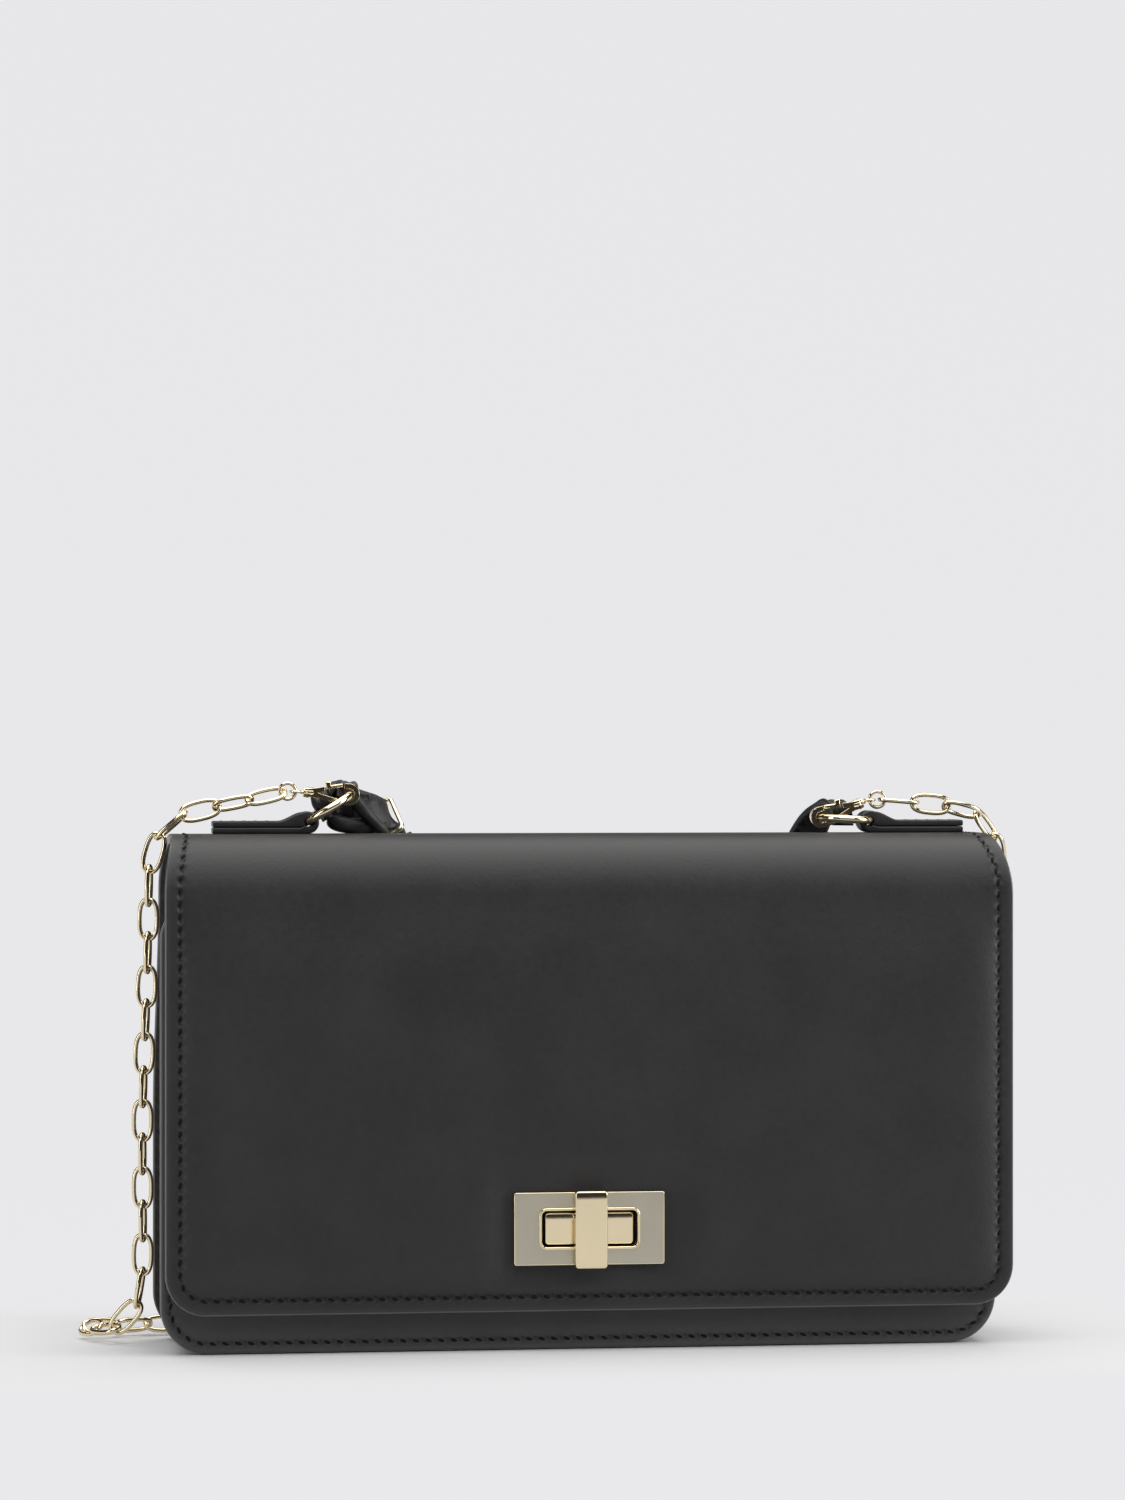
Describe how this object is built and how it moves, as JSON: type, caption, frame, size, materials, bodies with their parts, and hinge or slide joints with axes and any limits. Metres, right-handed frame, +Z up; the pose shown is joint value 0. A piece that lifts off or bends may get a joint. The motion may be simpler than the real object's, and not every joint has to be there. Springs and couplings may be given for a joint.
{
  "type": "wallet on chain",
  "caption": "Small flap bag with a turn lock, card leaves inside, ring tabs on its crest, a leather handle strap and a detachable chain of long oval links.",
  "frame": {"origin": "middle of the flat underside the bag stands on", "axes": "+Z up, -Y out of the front flap, +X to the right as seen from the front"},
  "size_m": [0.2239, 0.1072, 0.1324],
  "materials": {
    "leather": "smooth black calf, semi-matt",
    "lining": "dark woven lining",
    "padding": "soft foam pad, hidden",
    "gold": "polished pale gold plating",
    "satin_gold": "brushed pale gold plating",
    "steel": "plain"
  },
  "bodies": {
    "bag": {"back_lining": "lining", "back_panel": "leather", "card_leaf_1": "leather", "card_leaf_2": "leather", "card_leaf_3": "leather", "chain_coil": "gold", "chain_link_left_01": "gold", "chain_link_left_02": "gold", "chain_link_left_03": "gold", "chain_link_left_04": "gold", "chain_link_left_05": "gold", "chain_link_left_06": "gold", "chain_link_left_07": "gold", "chain_link_left_08": "gold", "chain_link_left_09": "gold", "chain_link_left_10": "gold", "chain_link_left_11": "gold", "chain_link_left_12": "gold", "chain_link_left_13": "gold", "chain_link_left_14": "gold", "chain_link_left_15": "gold", "chain_link_left_16": "gold", "chain_link_left_17": "gold", "chain_link_left_18": "gold", "chain_link_left_19": "gold", "chain_link_left_20": "gold", "chain_link_right_01": "gold", "chain_link_right_02": "gold", "chain_link_right_03": "gold", "chain_link_right_04": "gold", "chain_link_right_05": "gold", "chain_run_left": "gold", "chain_run_right": "gold", "clasp_left_body": "gold", "clasp_left_eye": "gold", "clasp_right_body": "gold", "clasp_right_eye": "gold", "front_lining": "lining", "front_panel": "leather", "gusset": "leather", "handle_strap": "leather", "jump_ring_left": "gold", "jump_ring_right": "gold", "lock_backer": "steel", "lock_base": "gold", "lock_patch": "leather", "ring_left": "gold", "ring_right": "gold", "strap_slide": "gold", "tab_left": "leather", "tab_right": "leather"},
    "flap": {"flap_leather": "leather", "flap_lining": "lining", "flap_padding": "padding", "flap_plate": "satin_gold", "flap_plate_backer": "steel"},
    "turn_lock": {"turn_bar": "gold", "turn_bar_clip": "steel"},
    "left_trigger": {"clasp_left_trigger": "gold"},
    "right_trigger": {"clasp_right_trigger": "gold"}
  },
  "joints": [
    {"name": "flap_hinge", "type": "hinge", "parent": "bag", "child": "flap", "pos_m": [0, -0.0066, 0.1202], "axis": [-1, 0, 0], "range_deg": [0, 90]},
    {"name": "turn_bar_turn", "type": "hinge", "parent": "bag", "child": "turn_lock", "pos_m": [0, -0.0258, 0.0285], "axis": [0, 1, 0], "range_deg": [0, 90]},
    {"name": "left_trigger_press", "type": "hinge", "parent": "bag", "child": "left_trigger", "pos_m": [-0.0584, 0.0015, 0.13079], "axis": [0, 1, 0], "range_deg": [0, 25], "stiffness_Nm_per_rad": 0.01, "springref_deg": -11.46},
    {"name": "right_trigger_press", "type": "hinge", "parent": "bag", "child": "right_trigger", "pos_m": [0.06319, 0.0015, 0.12637], "axis": [0, -1, 0], "range_deg": [0, 25], "stiffness_Nm_per_rad": 0.01, "springref_deg": -11.46}
  ]
}
